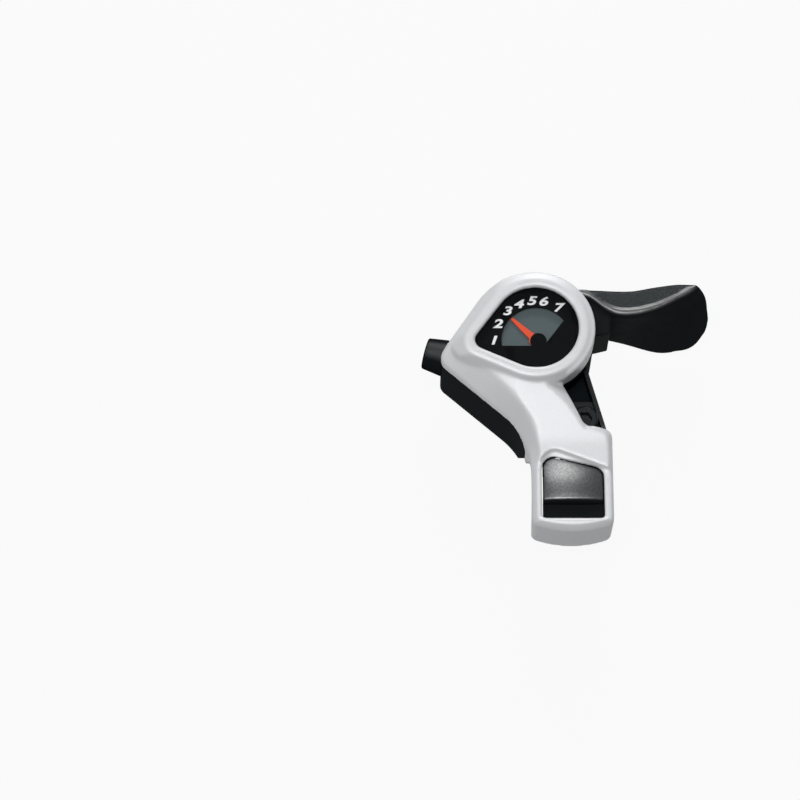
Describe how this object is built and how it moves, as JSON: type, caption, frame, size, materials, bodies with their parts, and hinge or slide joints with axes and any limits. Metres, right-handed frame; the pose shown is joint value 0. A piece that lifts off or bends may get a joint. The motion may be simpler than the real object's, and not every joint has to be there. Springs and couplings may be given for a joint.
{
  "type": "trigger gear shifter",
  "caption": "Handlebar gear shifter for a bicycle, with a thumb lever, a release trigger button, a gear dial with needle, a ratchet winder and a cable adjuster.",
  "frame": {"origin": "centre of the handlebar bore, in the middle of the clamp band", "axes": "+X along the handlebar towards the grip, +Y forward away from the rider, +Z the way the dial faces"},
  "size_m": [0.0936, 0.0851, 0.0347],
  "materials": {
    "silver_paint": "silver lacquer, fine metallic flake",
    "black_housing": "moulded, semi gloss",
    "black_lever": "moulded, gloss thumb face, pebbled top",
    "black_barrel": "moulded, smooth",
    "button_grey": "fine grain",
    "clear_lens": "clear, polished",
    "dial_black": "printed dial face",
    "dial_grey": "satin",
    "needle_orange": "satin",
    "white_plastic": "moulded",
    "black_steel": "black plated",
    "zinc_steel": "zinc plated",
    "spring_steel": "bright wire and strip",
    "brass_bush": "turned"
  },
  "bodies": {
    "housing": {"top_cover": "silver_paint", "lower_housing": "black_housing", "cover_screws": "zinc_steel", "mounting_bracket": "black_steel", "bracket_screws": "zinc_steel", "clamp_band": "black_steel", "clamp_bolt": "black_steel", "clamp_nut": "zinc_steel", "dial_lens": "clear_lens", "dial_mask": "dial_black", "dial_tray": "dial_grey", "dial_screws": "zinc_steel", "main_axle": "zinc_steel", "axle_nut": "zinc_steel", "axle_washer": "zinc_steel", "thrust_washer": "zinc_steel", "hold_pawl_pin": "zinc_steel", "hold_pawl_spring": "spring_steel", "button_pin": "zinc_steel", "button_spring": "spring_steel", "lever_return_spring": "spring_steel"},
    "winder": {"cable_spool": "white_plastic", "ratchet_wheel": "zinc_steel", "needle": "needle_orange", "needle_carrier": "white_plastic"},
    "lever": {"thumb_lever": "black_lever", "lever_plate": "zinc_steel", "lever_bush": "brass_bush", "lever_rivets": "zinc_steel", "drive_pawl_pin": "zinc_steel", "drive_pawl_spring": "spring_steel"},
    "drive_pawl": {"drive_pawl": "zinc_steel"},
    "hold_pawl": {"hold_pawl": "zinc_steel"},
    "button": {"release_button": "button_grey", "release_arm": "black_steel"},
    "adjuster": {"adjuster_barrel": "black_barrel"}
  },
  "joints": [
    {"name": "lever_push", "type": "hinge", "parent": "housing", "child": "lever", "pos_m": [-0.0153, 0.0465, 0], "axis": [0, 0, 1], "range_deg": [0, 40], "stiffness_Nm_per_rad": 0.25, "springref_deg": -11.46, "deforming": ["lever_return_spring"]},
    {"name": "gear_index", "type": "hinge", "parent": "housing", "child": "winder", "pos_m": [-0.0153, 0.0465, 0], "axis": [0, 0, 1], "range_deg": [-80, 40]},
    {"name": "drive_pawl_drop", "type": "hinge", "parent": "lever", "child": "drive_pawl", "pos_m": [-0.01918, 0.06099, 0], "axis": [0, 0, 1], "range_deg": [0, 12], "deforming": ["drive_pawl_spring"]},
    {"name": "hold_pawl_drop", "type": "hinge", "parent": "housing", "child": "hold_pawl", "pos_m": [-0.02889, 0.04016, 0], "axis": [0, 0, 1], "range_deg": [0, 12], "deforming": ["hold_pawl_spring"]},
    {"name": "release_press", "type": "hinge", "parent": "housing", "child": "button", "pos_m": [-0.0045, -0.011, 0.011], "axis": [-1, 0, 0], "range_deg": [0, 7], "stiffness_Nm_per_rad": 0.6, "springref_deg": -3.44, "deforming": ["button_spring"]},
    {"name": "adjuster_turn", "type": "hinge", "parent": "housing", "child": "adjuster", "pos_m": [-0.05047, 0.04764, 0.004], "axis": [-0.9636, 0.2672, 0], "continuous": true}
  ]
}
